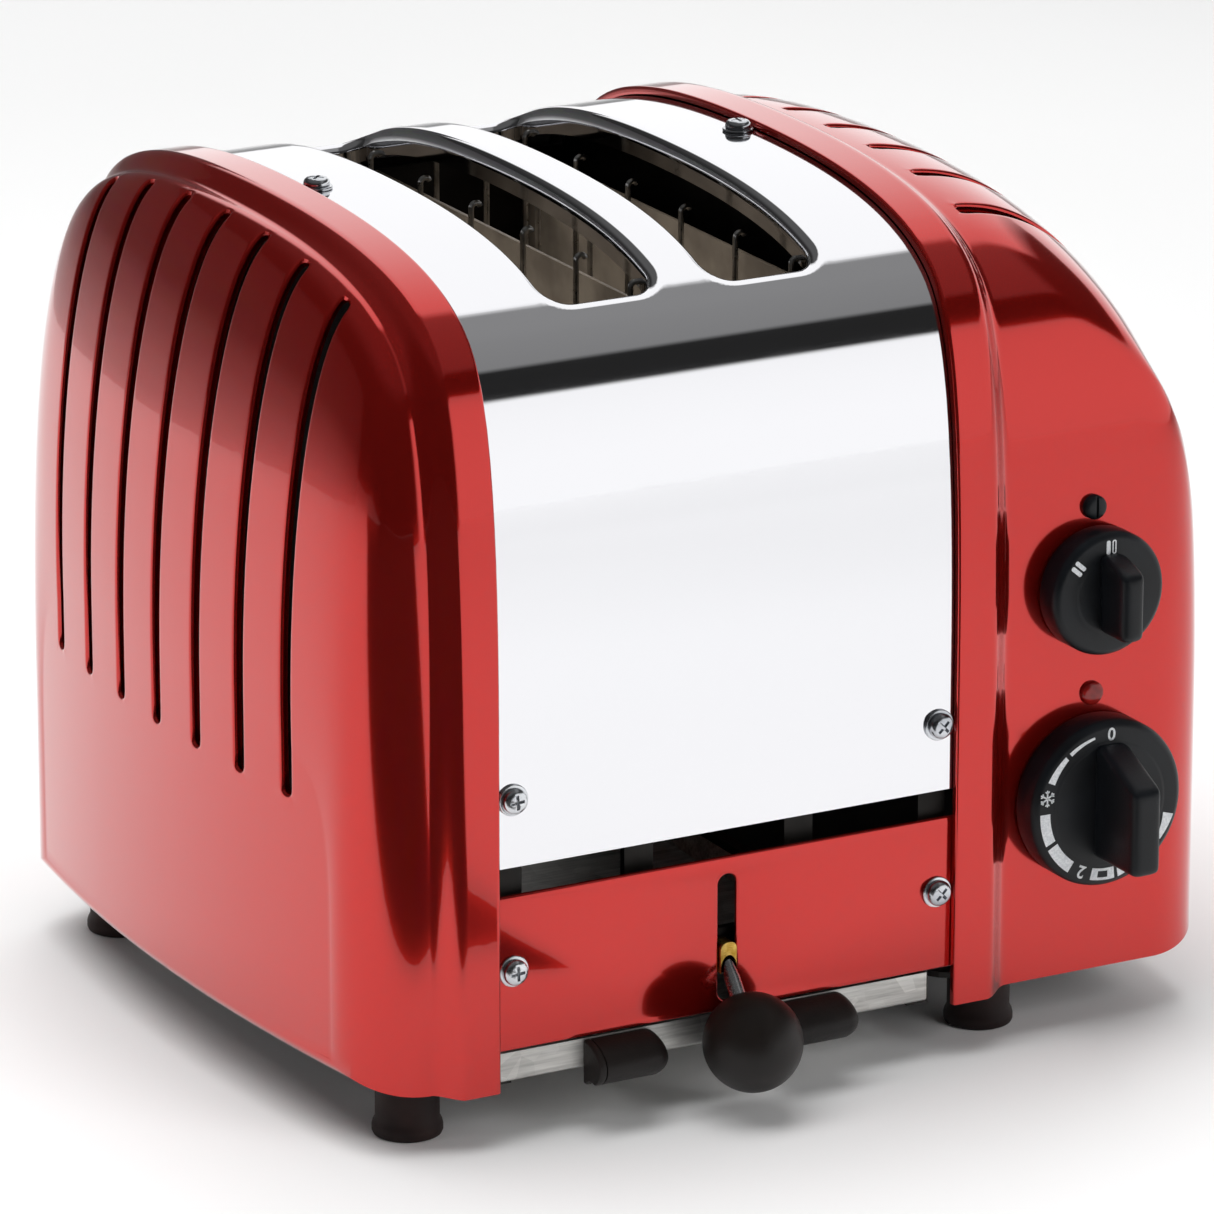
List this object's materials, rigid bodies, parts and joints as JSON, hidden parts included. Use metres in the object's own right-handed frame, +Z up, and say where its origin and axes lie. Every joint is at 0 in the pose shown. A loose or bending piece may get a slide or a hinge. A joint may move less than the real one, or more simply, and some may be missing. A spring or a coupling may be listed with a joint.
{
  "type": "pop up toaster",
  "caption": "Two-slot toaster with cast vented end caps, a polished steel cover, a clockwork timer knob, a slot selector knob and a ball-ended lever that lifts the bread racks.",
  "frame": {"origin": "middle of the bounding box in plan, on the plane of the foot soles", "axes": "+Z up, -Y is the front with the lever and the knobs, +X is the control end"},
  "size_m": [0.257, 0.2364, 0.2208],
  "materials": {
    "red_lacquer": "clear-coated candy red lacquer on cast aluminium and steel",
    "polished_steel": "mirror-polished stainless steel sheet",
    "dull_steel": "dull bright-drawn or galvanised steel",
    "aluminised_steel": "matt aluminised steel sheet",
    "zinc_steel": "bright zinc-plated steel",
    "mica_board": "mica board with resistance ribbon",
    "black_plastic": "fine-textured black phenolic moulding",
    "brass": "machined brass",
    "rubber": "matt dark brown rubber",
    "red_lens": "translucent red moulding",
    "grey_plastic": "grey heat-resistant moulding"
  },
  "bodies": {
    "chassis": {"left_end_cap": "red_lacquer", "right_end_cap": "red_lacquer", "steel_cover": "polished_steel", "front_lower_panel": "red_lacquer", "back_lower_panel": "red_lacquer", "screw_front_upper_left": "zinc_steel", "screw_front_upper_right": "zinc_steel", "screw_front_lower_left": "zinc_steel", "screw_front_lower_right": "zinc_steel", "screw_back_upper_left": "zinc_steel", "screw_back_upper_right": "zinc_steel", "screw_back_lower_left": "zinc_steel", "screw_back_lower_right": "zinc_steel", "screw_top_left": "zinc_steel", "screw_top_right": "zinc_steel", "left_side_plate": "aluminised_steel", "right_side_plate": "aluminised_steel", "front_cross_plate": "aluminised_steel", "back_cross_plate": "aluminised_steel", "heating_element_left": "mica_board", "heating_element_centre": "mica_board", "heating_element_right": "mica_board", "guard_wires_1_left": "dull_steel", "guard_wires_1_right": "dull_steel", "guard_wires_2_left": "dull_steel", "guard_wires_2_right": "dull_steel", "left_base_plate": "aluminised_steel", "right_base_plate": "aluminised_steel", "foot_front_left": "rubber", "foot_screw_front_left": "zinc_steel", "foot_back_left": "rubber", "foot_screw_back_left": "zinc_steel", "foot_front_right": "rubber", "foot_screw_front_right": "zinc_steel", "foot_back_right": "rubber", "foot_screw_back_right": "zinc_steel", "left_tray_rail": "aluminised_steel", "right_tray_rail": "aluminised_steel", "timer_movement": "zinc_steel", "selector_switch": "grey_plastic", "neon_lens": "red_lens", "pointer_plug": "black_plastic", "cord_gland": "black_plastic", "terminal_block": "grey_plastic"},
    "carriage": {"bread_rack_1": "dull_steel", "bread_rack_2": "dull_steel", "carriage_frame": "dull_steel", "lever_block": "brass", "lever_rod": "zinc_steel", "lever_ball": "black_plastic"},
    "crumb_tray": {"crumb_tray": "dull_steel", "tray_grip_left": "black_plastic", "tray_grip_right": "black_plastic"},
    "timer_dial": {"timer_knob": "black_plastic", "timer_shaft": "zinc_steel"},
    "selector_dial": {"selector_knob": "black_plastic", "selector_shaft": "zinc_steel"}
  },
  "joints": [
    {"name": "lever_lift", "type": "slide", "parent": "chassis", "child": "carriage", "axis": [0, 0, 1], "range_m": [0, 0.017]},
    {"name": "tray_slide", "type": "slide", "parent": "chassis", "child": "crumb_tray", "axis": [0, -1, 0], "range_m": [0, 0.0006]},
    {"name": "timer_turn", "type": "hinge", "parent": "chassis", "child": "timer_dial", "pos_m": [0.0828, -0.09015, 0.0631], "axis": [0, 1, 0], "range_deg": [0, 250], "stiffness_Nm_per_rad": 0.02},
    {"name": "selector_turn", "type": "hinge", "parent": "chassis", "child": "selector_dial", "pos_m": [0.0828, -0.09015, 0.118], "axis": [0, 1, 0], "range_deg": [0, 45]}
  ]
}
